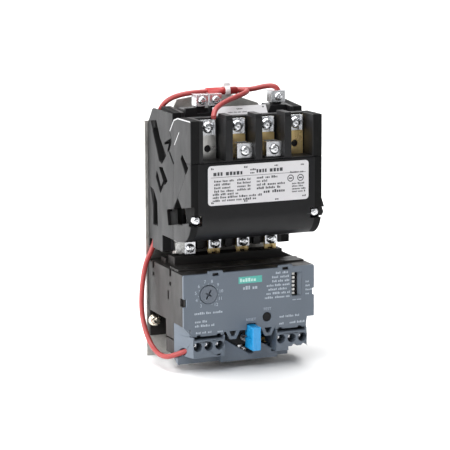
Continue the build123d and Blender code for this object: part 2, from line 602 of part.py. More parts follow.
with BuildPart() as lower_housing:
    # left block, its outer flank slanted back to the relay's side
    prism(under(BLOCK_TOP), [(-RELAY, COLUMN[1]), (LEFT_BLOCK[0], BLOCK_FRONT),
                             (LEFT_BLOCK[1], BLOCK_FRONT), (LEFT_BLOCK[1], COLUMN[1])], BLOCK_TOP - 11)
    prism(under(RELAY_SPLIT), [(-RELAY, COLUMN[1]), (-40.3, BODY_FRONT), (LEFT_BLOCK[1], BODY_FRONT),
                               (LEFT_BLOCK[1], COLUMN[1])], RELAY_SPLIT - BLOCK_TOP)
    # right block, with a scalloped lower edge
    prism(under(BLOCK_TOP), [(RIGHT_BLOCK[0], COLUMN[1]), (RIGHT_BLOCK[0], BLOCK_FRONT),
                             (RIGHT_BLOCK[1], BLOCK_FRONT), (RELAY, COLUMN[1])], BLOCK_TOP - 12.8)
    prism(under(RELAY_SPLIT), [(RIGHT_BLOCK[0], COLUMN[1]), (RIGHT_BLOCK[0], BODY_FRONT),
                               (40.3, BODY_FRONT), (RELAY, COLUMN[1])], RELAY_SPLIT - BLOCK_TOP)
    block((RIGHT_BLOCK[0], 26.4), (COLUMN[1], BLOCK_FRONT), (10.4, 12.8))
    for x in (30.6, 37.2):
        rod(front(COLUMN[1]), (x, 12.2), 1.9, 30, Mode.SUBTRACT)
    # skirt across the bottom
    block((-RELAY, 31.2), (COLUMN[1], 53), (5, 9.4))
    block((-RELAY, LEFT_BLOCK[1]), (COLUMN[1], 53), (5, 11))
    block((RIGHT_BLOCK[0], 26.4), (COLUMN[1], 53), (5, 10.4))
    prism(side(-LEFT_BLOCK[0] + 6), [(COLUMN[1], 5), (COLUMN[1], 7.6), (53, 5)], 100, Mode.SUBTRACT)
    # sloping gussets beside the load terminals
    prism(front(55.6), [(LEFT_BLOCK[1], 21.4), (LEFT_BLOCK[1], 5), (2, 5), (2, 9)], 1.8)
    prism(front(55.6), [(5, 18.6), (5, 5), (RIGHT_BLOCK[0], 5), (RIGHT_BLOCK[0], 11.4)], 1.8)
    block((LEFT_BLOCK[1], 22), (53, 57.4), (5, 9))
    for x in LUGS:
        block((x - 4.6, x + 4.6), (COLUMN[1], 51.6), (4, 13.2), Mode.SUBTRACT)
    # screw holes, marker slots and the openings for control wires
    for x in HOLES:
        rod(front(52), (x, HOLE_HEIGHT), 2.9, 20, Mode.SUBTRACT)
        block((x - 2.5, x + 2.5), (47.6, 57.4), (12.6 if x < 0 else 13.8, 22.1), Mode.SUBTRACT)
    for xs in ((LEFT_BLOCK[0] + 0.8, LEFT_BLOCK[1] - 0.9), (RIGHT_BLOCK[0] + 0.9, RIGHT_BLOCK[1] - 0.8)):
        block(xs, (56, 70), (22.6, BLOCK_TOP + 1), Mode.SUBTRACT)
    block((-22.9, -20.3), (62, 70), (11.7, 12.7), Mode.SUBTRACT)
    # entry for the lead in the slanted flank
    with BuildSketch(Plane(origin=at(-42.2, 54.7, 13.5), z_dir=(8.2, -6.3, 4.1))) as entry:
        Circle(LEAD / 2 + 0.8)
    extrude(entry.sketch, amount=7, both=True, mode=Mode.SUBTRACT)
save(lower_housing, "lower_housing")

with BuildPart() as control_clamps:
    for x in HOLES:
        block((x - 2.4, x + 2.4), (51.8, 57.2), (14, 21.9))
        block((x - 1.6, x + 1.6), (52.8, 56.2), (13, 23), Mode.SUBTRACT)
        rod(front(56), (x, HOLE_HEIGHT), 1.25, 3, Mode.SUBTRACT)
save(control_clamps, "control_clamps")

with BuildPart() as control_screws:
    for x in HOLES:
        screw(at(x, 57.2, HOLE_HEIGHT), FRONT, (2.5, 2.4), (1.2, 3.6), "slot")
save(control_screws, "control_screws")

# ================= overload relay: cover =================
with BuildPart() as relay_cover:
    with BuildSketch(front(BODY_FRONT)) as face:
        with BuildLine():
            Polyline((-RELAY, RELAY_TOP), (RELAY, RELAY_TOP), (RELAY, RELAY_SPLIT), (40.1, RELAY_SPLIT),
                     (39.1, BLOCK_TOP), (17.7, BLOCK_TOP), (17.7, 26), (-17.5, 26),
                     (-17.5, BLOCK_TOP), (-39.1, BLOCK_TOP), (-RELAY, RELAY_SPLIT), close=True)
        make_face()
    extrude(face.sketch, amount=COVER_FRONT - BODY_FRONT)
    # latch tabs above the top edge and below the bottom edge
    for x in (-23.1, 24.9):
        block((x - 4.8, x + 4.8), (BODY_FRONT, COVER_FRONT), (RELAY_TOP - 3, RELAY_TOP + 1.5))
        block((x - 2.1, x + 2.1), (BODY_FRONT, COVER_FRONT), (62.6, 64.4), Mode.SUBTRACT)
    for x in (-11.4, 12.8):
        prism(front(BODY_FRONT), [(x - 5, 26.4), (x + 5, 26.4), (x + 2.2, 20.8), (x - 2.2, 20.8)],
              COVER_FRONT - BODY_FRONT)
        prism(front(BODY_FRONT), [(x - 2.4, 26.2), (x + 2.4, 26.2), (x + 1.0, 22.8), (x - 1.0, 22.8)],
              3, Mode.SUBTRACT)
    for x in (-34.7, -21.1, 21.3, 34.9):
        block((x - 1.3, x + 1.3), (BODY_FRONT, COVER_FRONT), (BLOCK_TOP - 1, BLOCK_TOP + 1), Mode.SUBTRACT)
    rod(front(BODY_FRONT), DIAL, DIAL_RADIUS + 0.3, 3, Mode.SUBTRACT)
    rod(front(BODY_FRONT), TEST, 3.0, 3, Mode.SUBTRACT)
    block(DIP_X, (BODY_FRONT, 70), DIP_H, Mode.SUBTRACT)
    prism(under(DIP_H[1] + 0.2), [(33.6, BODY_FRONT), (DIP_X[1] + 0.1, BODY_FRONT),
                                  (DIP_X[1] + 0.1, COVER_FRONT)], DIP_H[1] - DIP_H[0] + 0.4)
    block((RESET[0] - 3.2, RESET[0] + 3.2), (BODY_FRONT, 70), (20, 29.9), Mode.SUBTRACT)
    block((-RELAY, -RELAY + 2.2), (BODY_FRONT, 70), (44, 49.2), Mode.SUBTRACT)
    block((RELAY - 1.2, RELAY), (BODY_FRONT, 70), (44.9, 49.2), Mode.SUBTRACT)
    block((-41.6, -40), (BODY_FRONT, 70), (26.6, 29.2), Mode.SUBTRACT)
    fillet(relay_cover.edges().filter_by(Axis.Y).group_by(Axis.Z)[-3], 1)
save(relay_cover, "relay_cover")

# ================= overload relay: electronics and controls =================
with BuildPart() as circuit_board:
    block((-41.5, 41.5), BOARD, (33.8, 61.6))
    for x in (-38, 38):
        for height in (38, 58):
            rod(front(50), (x, height), 1.2, 5, Mode.SUBTRACT)
save(circuit_board, "circuit_board")

with BuildPart() as board_screws:
    for x in (-38, 38):
        for height in (38, 58):
            screw(at(x, BOARD[1], height), FRONT, (2.0, 1.3), (0.95, 6))
save(board_screws, "board_screws")

with BuildPart() as board_components:
    block((-16, -2), (BOARD[1], BOARD[1] + 2.2), (40, 52))
    block((2, 12), (BOARD[1], BOARD[1] + 3), (54, 60))
    block((-2, 12), (BOARD[1] - 9, BOARD[0]), (42, 60))
    for x in (17, 21, 25):
        rod(front(BOARD[1]), (x, 41), 1.6, 5)
    # snap switch behind the test button
    block((TEST[0] - 3, TEST[0] + 3), (BOARD[1], 56), (TEST[1] + 1.4, TEST[1] + 5))
    block((TEST[0] - 2, TEST[0] + 2), (BOARD[1], 55.6), (TEST[1] - 1.6, TEST[1] + 1.4))
save(board_components, "board_components")

with BuildPart() as dial_potentiometer:
    block((DIAL[0] - 5, DIAL[0] + 5), (BOARD[1], 58.2), (DIAL[1] - 5, DIAL[1] + 5))
    rod(front(BOARD[1]), DIAL, 1.6, 10, Mode.SUBTRACT)
save(dial_potentiometer, "dial_potentiometer")

with BuildPart() as current_dial:
    rod(front(59.2), DIAL, DIAL_RADIUS, 4.9)
    rod(front(54.4), DIAL, 1.5, 4.8)
    with BuildSketch(front(62)) as slots:
        with Locations(DIAL):
            Rectangle(6.4, 1.0, rotation=60)
            Rectangle(4.4, 1.0, rotation=150)
    extrude(slots.sketch, amount=3, mode=Mode.SUBTRACT)
save(current_dial, "current_dial")

# six option switches in a recess
SWITCH_HEIGHTS = [DIP_H[0] + 1.25 + DIP_PITCH * i for i in range(6)]
with BuildPart() as switch_body:
    block((DIP_X[0] + 0.2, DIP_X[0] + 5.2), (BOARD[1], 60.6), (DIP_H[0] + 0.2, DIP_H[1] - 0.2))
    for height in SWITCH_HEIGHTS:
        block((DIP_X[0] + 0.9, DIP_X[0] + 4.6), (58.6, 61), (height - 0.85, height + 0.85), Mode.SUBTRACT)
save(switch_body, "switch_body")

for number, height in enumerate(SWITCH_HEIGHTS, start=1):
    with BuildPart() as slider:
        block((DIP_X[0] + 1.1, DIP_X[0] + 2.9), (58.8, 61.3), (height - 0.75, height + 0.75))
    save(slider, f"option_slider_{number}")

with BuildPart() as test_button:
    rod(front(60.2), TEST, 2.8, 3.0)
    rod(front(57.4), TEST, 1.2, 2.8)
save(test_button, "test_button")

with BuildPart() as reset_button:
    block((RESET[0] - RESET_SIZE[0] / 2, RESET[0] + RESET_SIZE[0] / 2), (59.6, 72),
          (RESET[1] - RESET_SIZE[1] / 2, RESET[1] + RESET_SIZE[1] / 2))
    fillet(reset_button.edges().group_by(Axis.Y)[0], 0.6)
    for way in (-1, 1):
        block(sorted((RESET[0] + way * 1.9, RESET[0] + way * 4)), (59, 69), (20.6, 22), Mode.SUBTRACT)
    rod(front(47.6), (RESET[0], STEM), 1.2, 12)
save(reset_button, "reset_button")

with BuildPart() as reset_guide:
    block((-10, 12), (47.4, 49.2), (13.2, 31))
    for way in (-1, 1):
        block(sorted((RESET[0] + way * 3.4, RESET[0] + way * 5.2)), (49.2, 58), (23, 31))
        block(sorted((RESET[0] + way * 4.3, RESET[0] + way * 6)), (41.8, 47.4), (13.2, 18))
    rod(front(47), (RESET[0], STEM), 1.25, 3, Mode.SUBTRACT)
    rod(side(RESET[0] + 7), (LEVER[0], LEVER[1]), 1.25, 14, Mode.SUBTRACT)
save(reset_guide, "reset_guide")

with BuildPart() as reset_spring:
    coil_spring(at(RESET[0], 49.2, 18.4), at(RESET[0], 59.6, 18.4), 2.0, 0.45, 7)
save(reset_spring, "reset_spring")

with BuildPart() as trip_lever:
    rod(side(RESET[0] + 6), LEVER, 1.2, 12)
    block((RESET[0] - 1.9, RESET[0] + 1.9), (LEVER[0] - 0.8, LEVER[0] + 0.8), (LEVER[1], 28.4))
    block((RESET[0] - 1.9, RESET[0] + 1.9), (LEVER[0] + 0.8, 47.2), (24.9, 27.7))
save(trip_lever, "trip_lever")

# ================= red leads, splice and tie =================
SPLICE = (-13, 7, 26, 174)       # X from, X to, depth and height
RISE = [(-39.7, 56.4, 14.6), (-42.2, 54.7, 13.5), (-46.3, 51.2, 11.2), (-49.0, 43.6, 8.4),
        (-50.2, 32.5, 8.0), (-51.0, 21.4, 12.0), (-51.6, 12.6, 20.0), (-51.9, 7.6, 30.4),
        (-51.4, 6.3, 41.4), (-50.1, 5.8, 52), (-47.9, 5.6, 62.6), (-43.4, 5.4, 71.0),
        (-40.9, 5.6, 77.4), (-40.8, 5.8, 99), (-40.8, 6.0, 118), (-40.8, 6.2, 136),
        (-40.8, 7.4, 149), (-40.6, 12.2, 160.8), (-38.4, 17.0, 167.4), (-34.2, 21.0, 171),
        (-28, 23.6, 173), (-20, 26, 174), (SPLICE[0], 26, 174)]
TO_COIL = [(SPLICE[1], 24.2, 174), (12, 24.2, 174), (18.4, 26.0, 174), (24.4, 29, 175.8),
           (29, 32, 176.6), (32.2, 34, 175.4), (33.0, 34.5, 172.6)]
TO_AUXILIARY = [(SPLICE[1], 27.8, 174), (10.6, 27.8, 174), (12.6, 31.2, 174), (10.6, 35.2, 173.6),
                (5.6, 39.4, 172.8), (-1.6, 43.6, 171.6), (-8.6, 47.8, 170.2), (-15, 52.4, 168.6),
                (-19.8, 57.2, 167), (-22.8, 61.4, 165.1), (-24.2, 63.9, 162.6)]

lengths = {}
with BuildPart() as lead_to_relay:
    lengths["lead_to_relay"] = tube(RISE, LEAD / 2)
save(lead_to_relay, "lead_to_relay")

with BuildPart() as lead_to_coil:
    lengths["lead_to_coil"] = tube(TO_COIL, LEAD / 2)
save(lead_to_coil, "lead_to_coil")

with BuildPart() as lead_to_auxiliary:
    lengths["lead_to_auxiliary"] = tube(TO_AUXILIARY, LEAD / 2)
save(lead_to_auxiliary, "lead_to_auxiliary")

for name, lead in (("lead_to_relay", lead_to_relay), ("lead_to_coil", lead_to_coil),
                   ("lead_to_auxiliary", lead_to_auxiliary)):
    length, tightest = lengths[name]
    filled = lead.part.volume / (length * pi * LEAD ** 2 / 4)
    print(f"{name}: length {length:.1f}, smallest radius {tightest:.1f}, volume ratio {filled:.3f}")

with BuildPart() as splice_sleeve:
    with BuildSketch(side(SPLICE[0])) as oval:
        with Locations((SPLICE[2], SPLICE[3])):
            SlotOverall(7.4, 4.6)
    extrude(oval.sketch, amount=SPLICE[0] - SPLICE[1])
save(splice_sleeve, "splice_sleeve")

with BuildPart() as cable_tie:
    with BuildSketch(side(-1.6)) as band:
        with Locations((SPLICE[2], SPLICE[3])):
            SlotOverall(9.2, 6.4)
            SlotOverall(7.5, 4.7, mode=Mode.SUBTRACT)
    extrude(band.sketch, amount=-3.2)
    block((-2.2, 2.2), (SPLICE[2] - 1.8, SPLICE[2] + 1.8), (SPLICE[3] + 3.1, SPLICE[3] + 5.2))
save(cable_tie, "cable_tie")
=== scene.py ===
import json
import math
import random

import bmesh
import bpy
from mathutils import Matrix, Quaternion, Vector


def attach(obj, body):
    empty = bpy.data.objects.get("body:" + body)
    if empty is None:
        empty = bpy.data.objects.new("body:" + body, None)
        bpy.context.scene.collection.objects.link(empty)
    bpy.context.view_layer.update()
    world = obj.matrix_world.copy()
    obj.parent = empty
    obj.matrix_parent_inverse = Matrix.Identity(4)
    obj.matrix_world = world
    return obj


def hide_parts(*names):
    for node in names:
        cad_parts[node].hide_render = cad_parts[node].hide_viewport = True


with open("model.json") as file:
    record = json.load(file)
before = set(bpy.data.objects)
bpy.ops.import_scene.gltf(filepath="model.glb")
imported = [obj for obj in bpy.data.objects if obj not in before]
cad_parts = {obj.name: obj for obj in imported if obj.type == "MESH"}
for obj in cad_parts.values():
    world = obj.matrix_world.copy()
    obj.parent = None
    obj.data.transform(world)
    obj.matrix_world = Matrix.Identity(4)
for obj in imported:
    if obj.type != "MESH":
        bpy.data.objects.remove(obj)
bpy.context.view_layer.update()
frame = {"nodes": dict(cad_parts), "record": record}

# Magnetic motor starter. Lengths that go through at() are millimetres in the part's own measures: X,
# depth in front of the panel, and height above the plate's bottom edge. Materials, lamps and the floor
# are in metres.
NODES = frame["nodes"]
MM = 0.001
PLATE_FOOT = -4.6                # height of the plate's bottom edge in the frame


def at(x, depth, height):
    """Frame point in metres from an X, a depth and a height."""
    return Vector((x * MM, -depth * MM, (height + PLATE_FOOT) * MM))


# ---------------------------------------------------------------- camera
# angles fitted to the view: round from the front, up from level, and the small lean of the horizon
TARGET = at(-13.1, 55, 92.85)
VIEW_SIDE = math.radians(-22.83)
VIEW_UP = math.radians(10.32)
VIEW_ROLL = math.radians(-0.24)
VIEW_DISTANCE = 1.343
FOCAL_LENGTH = 170.9
SENSOR_WIDTH = 36

toward = Vector((math.sin(VIEW_SIDE) * math.cos(VIEW_UP), -math.cos(VIEW_SIDE) * math.cos(VIEW_UP),
                 math.sin(VIEW_UP)))
lens = bpy.data.cameras.new("camera")
lens.lens = FOCAL_LENGTH
lens.sensor_width = SENSOR_WIDTH
lens.clip_start = 0.05
lens.clip_end = 30
camera = bpy.data.objects.new("camera", lens)
camera.location = TARGET + toward * VIEW_DISTANCE
camera.rotation_mode = "QUATERNION"
camera.rotation_quaternion = toward.to_track_quat("Z", "Y") @ Quaternion((0, 0, 1), VIEW_ROLL)
bpy.context.scene.collection.objects.link(camera)
bpy.context.scene.camera = camera


# ---------------------------------------------------------------- materials
def nodes_of(name):
    """New material with an empty node tree, its shader and a few shortcuts."""
    made = bpy.data.materials.new(name)
    made.use_nodes = True
    tree = made.node_tree
    tree.nodes.clear()
    output = tree.nodes.new("ShaderNodeOutputMaterial")
    shader = tree.nodes.new("ShaderNodeBsdfPrincipled")
    tree.links.new(shader.outputs[0], output.inputs[0])
    place = tree.nodes.new("ShaderNodeTexCoord")
    return made, tree, shader, place.outputs["Object"]


def noise(tree, place, scale, detail=3.0, stretch=None):
    """Noise value at a size given in repeats per metre."""
    if stretch:
        mapping = tree.nodes.new("ShaderNodeMapping")
        mapping.inputs["Scale"].default_value = stretch
        tree.links.new(place, mapping.inputs[0])
        place = mapping.outputs[0]
    made = tree.nodes.new("ShaderNodeTexNoise")
    made.inputs["Scale"].default_value = scale
    made.inputs["Detail"].default_value = detail
    tree.links.new(place, made.inputs["Vector"])
    return made.outputs[0]


NOISE_LOW, NOISE_HIGH = 0.3, 0.7  # most of a noise lies between these


def ramp(tree, value, low, high, start=NOISE_LOW, end=NOISE_HIGH):
    """Colours from low to high as a value goes from start to end."""
    made = tree.nodes.new("ShaderNodeValToRGB")
    first, last = made.color_ramp.elements
    first.position, last.position = start, end
    first.color = (*low, 1)
    last.color = (*high, 1)
    tree.links.new(value, made.inputs[0])
    return made.outputs[0]


def spread(tree, value, low, high):
    """Numbers from low to high as a noise goes through its middle range."""
    made = tree.nodes.new("ShaderNodeMapRange")
    made.inputs["From Min"].default_value = NOISE_LOW
    made.inputs["From Max"].default_value = NOISE_HIGH
    made.inputs["To Min"].default_value = low
    made.inputs["To Max"].default_value = high
    tree.links.new(value, made.inputs["Value"])
    return made.outputs[0]


def mix(tree, factor, one, two):
    """Colour mix; each side is a socket or a plain colour, and the factor a socket or a number."""
    made = tree.nodes.new("ShaderNodeMix")
    made.data_type = "RGBA"
    for socket, value in ((made.inputs[0], factor), (made.inputs[6], one), (made.inputs[7], two)):
        if isinstance(value, bpy.types.NodeSocket):
            tree.links.new(value, socket)
        elif isinstance(value, tuple):
            socket.default_value = (*value, 1)
        else:
            socket.default_value = value
    return made.outputs[2]


def bump(tree, shader, heights, strength, distance):
    """Raised grain, one bump for each height field, chained."""
    normal = None
    for height, much in zip(heights, strength):
        made = tree.nodes.new("ShaderNodeBump")
        made.inputs["Strength"].default_value = much
        made.inputs["Distance"].default_value = distance
        tree.links.new(height, made.inputs["Height"])
        if normal:
            tree.links.new(normal, made.inputs["Normal"])
        normal = made.outputs[0]
    tree.links.new(normal, shader.inputs["Normal"])


def shade(colour, much):
    """Colour made lighter or darker by a factor."""
    return tuple(min(1.0, c * much) for c in colour)


def within(tree, value, low, high):
    """1 where a value's size lies between two limits, otherwise 0."""
    size = tree.nodes.new("ShaderNodeMath")
    size.operation = "ABSOLUTE"
    tree.links.new(value, size.inputs[0])
    over = tree.nodes.new("ShaderNodeMath")
    over.operation = "GREATER_THAN"
    over.inputs[1].default_value = low
    under = tree.nodes.new("ShaderNodeMath")
    under.operation = "LESS_THAN"
    under.inputs[1].default_value = high
    both = tree.nodes.new("ShaderNodeMath")
    both.operation = "MULTIPLY"
    for test, side in ((over, 0), (under, 1)):
        tree.links.new(size.outputs[0], test.inputs[0])
        tree.links.new(test.outputs[0], both.inputs[side])
    return both.outputs[0]


def plastic(name, colour, rough, tone=0.12, grain=0.25, coat=0.0, specular=0.5, painted_shade_band=None):
    """Moulded plastic: flow marks, a fine eroded texture and a patchy gloss.

    The last argument is a range of distances from the middle plane, in metres: the recess bottoms in both
    flanks lie there, and there the colour is darkened to a fifth as painted shade and the gloss is made
    duller."""
    made, tree, shader, place = nodes_of(name)
    broad = noise(tree, place, 45, 4)
    fine = noise(tree, place, 2600, 2)
    flow = noise(tree, place, 130, 5, stretch=(1, 1, 0.35))
    tinted = ramp(tree, broad, shade(colour, 1 - tone), shade(colour, 1 + tone))
    speck = ramp(tree, fine, shade(colour, 0.86), shade(colour, 1.14))
    tone_out = mix(tree, 0.4, tinted, speck)
    gloss = spread(tree, flow, rough - 0.06, rough + 0.07)
    # painted shade: inside the band the colour is darkened to a fifth, and the gloss is made duller
    if painted_shade_band:
        across = tree.nodes.new("ShaderNodeSeparateXYZ")
        tree.links.new(place, across.inputs[0])
        recess_shade_mask = within(tree, across.outputs[0], *painted_shade_band)
        tone_out = mix(tree, recess_shade_mask, tone_out, shade(colour, 0.2))
        duller = tree.nodes.new("ShaderNodeMath")
        duller.operation = "MULTIPLY_ADD"
        duller.inputs[1].default_value = 0.45
        tree.links.new(recess_shade_mask, duller.inputs[0])
        tree.links.new(gloss, duller.inputs[2])
        gloss = duller.outputs[0]
    tree.links.new(tone_out, shader.inputs["Base Color"])
    tree.links.new(gloss, shader.inputs["Roughness"])
    shader.inputs["Specular IOR Level"].default_value = specular
    shader.inputs["Coat Weight"].default_value = coat
    shader.inputs["Coat Roughness"].default_value = 0.18
    bump(tree, shader, (broad, fine), (0.12, grain), 0.00012)
    return made


def metal(name, colour, rough, stretch=None, scale=700, grain=0.2, bare=1.0):
    """Plated or bare metal with fine scratches and patches of different gloss."""
    made, tree, shader, place = nodes_of(name)
    patch = noise(tree, place, 160, 4)
    scratch = noise(tree, place, scale, 3, stretch=stretch)
    base = ramp(tree, patch, shade(colour, 0.9), shade(colour, 1.1))
    streak = ramp(tree, scratch, shade(colour, 0.85), shade(colour, 1.1))
    tree.links.new(mix(tree, 0.35, base, streak), shader.inputs["Base Color"])
    shader.inputs["Metallic"].default_value = bare
    tree.links.new(spread(tree, patch, rough - 0.1, rough + 0.08), shader.inputs["Roughness"])
    bump(tree, shader, (patch, scratch), (0.25, grain), 0.00008)
    return made


def galvanised(name):
    """Zinc-coated sheet with faint spangle."""
    made, tree, shader, place = nodes_of(name)
    cells = tree.nodes.new("ShaderNodeTexVoronoi")
    cells.inputs["Scale"].default_value = 190
    tree.links.new(place, cells.inputs["Vector"])
    spangle = tree.nodes.new("ShaderNodeSeparateColor")
    tree.links.new(cells.outputs["Color"], spangle.inputs[0])
    value = spangle.outputs[0]
    fine = noise(tree, place, 900, 4)
    base = ramp(tree, value, (0.50, 0.49, 0.46), (0.66, 0.65, 0.62), 0.0, 1.0)
    grey = ramp(tree, fine, (0.50, 0.49, 0.46), (0.68, 0.67, 0.64))
    tree.links.new(mix(tree, 0.4, base, grey), shader.inputs["Base Color"])
    shader.inputs["Metallic"].default_value = 0.85
    tree.links.new(spread(tree, value, 0.40, 0.52), shader.inputs["Roughness"])
    bump(tree, shader, (fine,), (0.15,), 0.0001)
    return made


def film(name, colour):
    """Printed film label with a faint paper-like mottle."""
    made, tree, shader, place = nodes_of(name)
    cloud = noise(tree, place, 90, 4)
    fine = noise(tree, place, 1800, 2)
    base = ramp(tree, cloud, shade(colour, 0.95), shade(colour, 1.04))
    speck = ramp(tree, fine, shade(colour, 0.93), shade(colour, 1.05))
    tree.links.new(mix(tree, 0.4, base, speck), shader.inputs["Base Color"])
    tree.links.new(spread(tree, cloud, 0.35, 0.46), shader.inputs["Roughness"])
    bump(tree, shader, (fine,), (0.06,), 0.00005)
    return made


def ink(name, colour, rough=0.55):
    """Pad-printed ink, a little uneven in cover; the same kind of paint also makes the painted edge
    highlights on the left flank.
    """
    made, tree, shader, place = nodes_of(name)
    cover = noise(tree, place, 1500, 3)
    base = ramp(tree, cover, shade(colour, 0.85), shade(colour, 1.08))
    tree.links.new(base, shader.inputs["Base Color"])
    tree.links.new(spread(tree, cover, rough - 0.05, rough + 0.1), shader.inputs["Roughness"])
    return made


def insulation(name, colour):
    """Extruded wire insulation with soft sheen and faint drawn marks."""
    made, tree, shader, place = nodes_of(name)
    cloud = noise(tree, place, 60, 3)
    fine = noise(tree, place, 1400, 3)
    base = ramp(tree, cloud, shade(colour, 0.9), shade(colour, 1.08))
    tree.links.new(mix(tree, 0.35, base, ramp(tree, fine, shade(colour, 0.88), shade(colour, 1.1))),
                   shader.inputs["Base Color"])
    tree.links.new(spread(tree, cloud, 0.36, 0.5), shader.inputs["Roughness"])
    shader.inputs["Subsurface Weight"].default_value = 0.08
    shader.inputs["Subsurface Radius"].default_value = (0.002, 0.0006, 0.0004)
    shader.inputs["Subsurface Scale"].default_value = 0.6
    bump(tree, shader, (cloud, fine), (0.1, 0.12), 0.0001)
    return made


ZINC = (0.80, 0.81, 0.83)
BRASS = (0.97, 0.70, 0.32)
LOOKS = {
    "galvanised_plate": galvanised("galvanised_plate"),
    # the two black housings get painted shade on the recess bottoms of both flanks
    "housing_black": plastic("housing_black", (0.0100, 0.0100, 0.0110), 0.42, specular=0.32,
                             painted_shade_band=(0.0385, 0.0439)),
    "cover_black": plastic("cover_black", (0.0045, 0.0045, 0.0055), 0.38, specular=0.28,
                           painted_shade_band=(0.0395, 0.0439)),
    "screw_zinc": metal("screw_zinc", ZINC, 0.24),
    "screw_nickel": metal("screw_nickel", (0.79, 0.74, 0.62), 0.24),
    "label_film": film("label_film", (0.66, 0.65, 0.665)),
    "terminal_brass": metal("terminal_brass", BRASS, 0.33, stretch=(1, 1, 0.12), grain=0.3, bare=0.5),
    "terminal_tin": metal("terminal_tin", (0.74, 0.73, 0.70), 0.34, stretch=(1, 1, 0.15)),
    "contact_silver": metal("contact_silver", (0.86, 0.85, 0.83), 0.3),
    "contact_copper": metal("contact_copper", (0.76, 0.38, 0.24), 0.36),
    "clamp_zinc": metal("clamp_zinc", ZINC, 0.27, grain=0.3),
    "lamination_steel": metal("lamination_steel", (0.34, 0.34, 0.35), 0.45, stretch=(0.02, 1, 1),
                              scale=1700, grain=0.6),
    "cushion_rubber": plastic("cushion_rubber", (0.02, 0.02, 0.02), 0.75, grain=0.4, specular=0.3),
    "bobbin_black": plastic("bobbin_black", (0.010, 0.010, 0.011), 0.40, specular=0.35),
    "winding_wire": metal("winding_wire", (0.42, 0.16, 0.06), 0.35, stretch=(1, 0.02, 1), scale=1900,
                          grain=0.7),
    "carrier_plastic": plastic("carrier_plastic", (0.36, 0.34, 0.29), 0.5),
    "spring_steel": metal("spring_steel", (0.52, 0.52, 0.54), 0.3),
    "relay_black": plastic("relay_black", (0.012, 0.0108, 0.010), 0.44, specular=0.4),
    "relay_gray": plastic("relay_gray", (0.120, 0.146, 0.180), 0.44, tone=0.06),
    "board_green": plastic("board_green", (0.02, 0.10, 0.04), 0.35, coat=0.4),
    "component_black": plastic("component_black", (0.012, 0.012, 0.013), 0.5),
    "dial_gray": plastic("dial_gray", (0.115, 0.135, 0.165), 0.42, tone=0.06),
    "button_black": plastic("button_black", (0.004, 0.004, 0.0045), 0.5, specular=0.25),
    "button_blue": plastic("button_blue", (0.014, 0.30, 0.66), 0.28, tone=0.05, coat=0.3),
    "slider_white": plastic("slider_white", (0.80, 0.80, 0.76), 0.4, tone=0.04),
    "lead_red": insulation("lead_red", (0.35, 0.046, 0.044)),
    "sleeve_red": insulation("sleeve_red", (0.42, 0.035, 0.035)),
    "tie_white": plastic("tie_white", (0.82, 0.80, 0.80), 0.4, tone=0.04, coat=0.2),
}
INK_DARK = ink("ink_dark", (0.045, 0.045, 0.05))
INK_LIGHT = ink("ink_light", (0.42, 0.47, 0.53))
INK_PALE_TEAL = ink("ink_pale_teal", (0.50, 0.72, 0.68))
INK_TEAL = ink("ink_teal", (0.10, 0.44, 0.38))
# pale paint for the painted highlights along edges of the left flank
EDGE_HIGHLIGHT_PAINT = ink("edge_highlight_paint", (0.55, 0.55, 0.56), 0.35)

# ---------------------------------------------------------------- CAD nodes: looks and softened edges
# bevel width in millimetres for each slot; the slots left out keep their edges
SOFT_EDGES = {
    "housing_black": 0.35, "cover_black": 0.40, "relay_black": 0.35, "relay_gray": 0.30,
    "bobbin_black": 0.30, "carrier_plastic": 0.3, "galvanised_plate": 0.25, "button_blue": 0.45,
    "dial_gray": 0.2, "button_black": 0.25, "clamp_zinc": 0.22, "screw_zinc": 0.14,
    "screw_nickel": 0.16, "terminal_brass": 0.18, "terminal_tin": 0.18, "label_film": 0.06,
    "tie_white": 0.25, "slider_white": 0.1, "component_black": 0.15, "lamination_steel": 0.2,
}
# faces with holes in these nodes close up when their triangles are joined, so they stay as they are
KEEP_FACES = {"arc_cover", "box_lug_screws", "coil_bobbin", "coil_clamp_screws", "contact_carrier",
              "control_clamps", "front_housing", "lower_housing", "rear_housing", "relay_body", "switch_body",
              "terminal_screws"}
WELD_DISTANCE = 0.000002
FLAT_WITHIN = math.radians(0.6)
SHARP_FROM = math.radians(32)
slots = {row["node"]: row["material_slot"] for row in frame["record"]["subparts"]}
for node, thing in NODES.items():
    slot = slots[node]
    thing.data.materials.clear()
    thing.data.materials.append(LOOKS[slot])
    thing.data.polygons.foreach_set("use_smooth", [True] * len(thing.data.polygons))
    weld = thing.modifiers.new("weld", "WELD")
    weld.merge_threshold = WELD_DISTANCE
    if node not in KEEP_FACES:
        flat = thing.modifiers.new("flat", "DECIMATE")
        flat.decimate_type = "DISSOLVE"
        flat.angle_limit = FLAT_WITHIN
    width = SOFT_EDGES.get(slot)
    if width:
        edge = thing.modifiers.new("edge", "BEVEL")
        edge.width = width * MM
        edge.segments = 2
        edge.limit_method = "ANGLE"
        edge.angle_limit = SHARP_FROM
        edge.use_clamp_overlap = False
        edge.miter_outer = "MITER_ARC"
    shading = thing.modifiers.new("shading", "WEIGHTED_NORMAL")
    shading.keep_sharp = False
    shading.weight = 100 if node in KEEP_FACES else 60


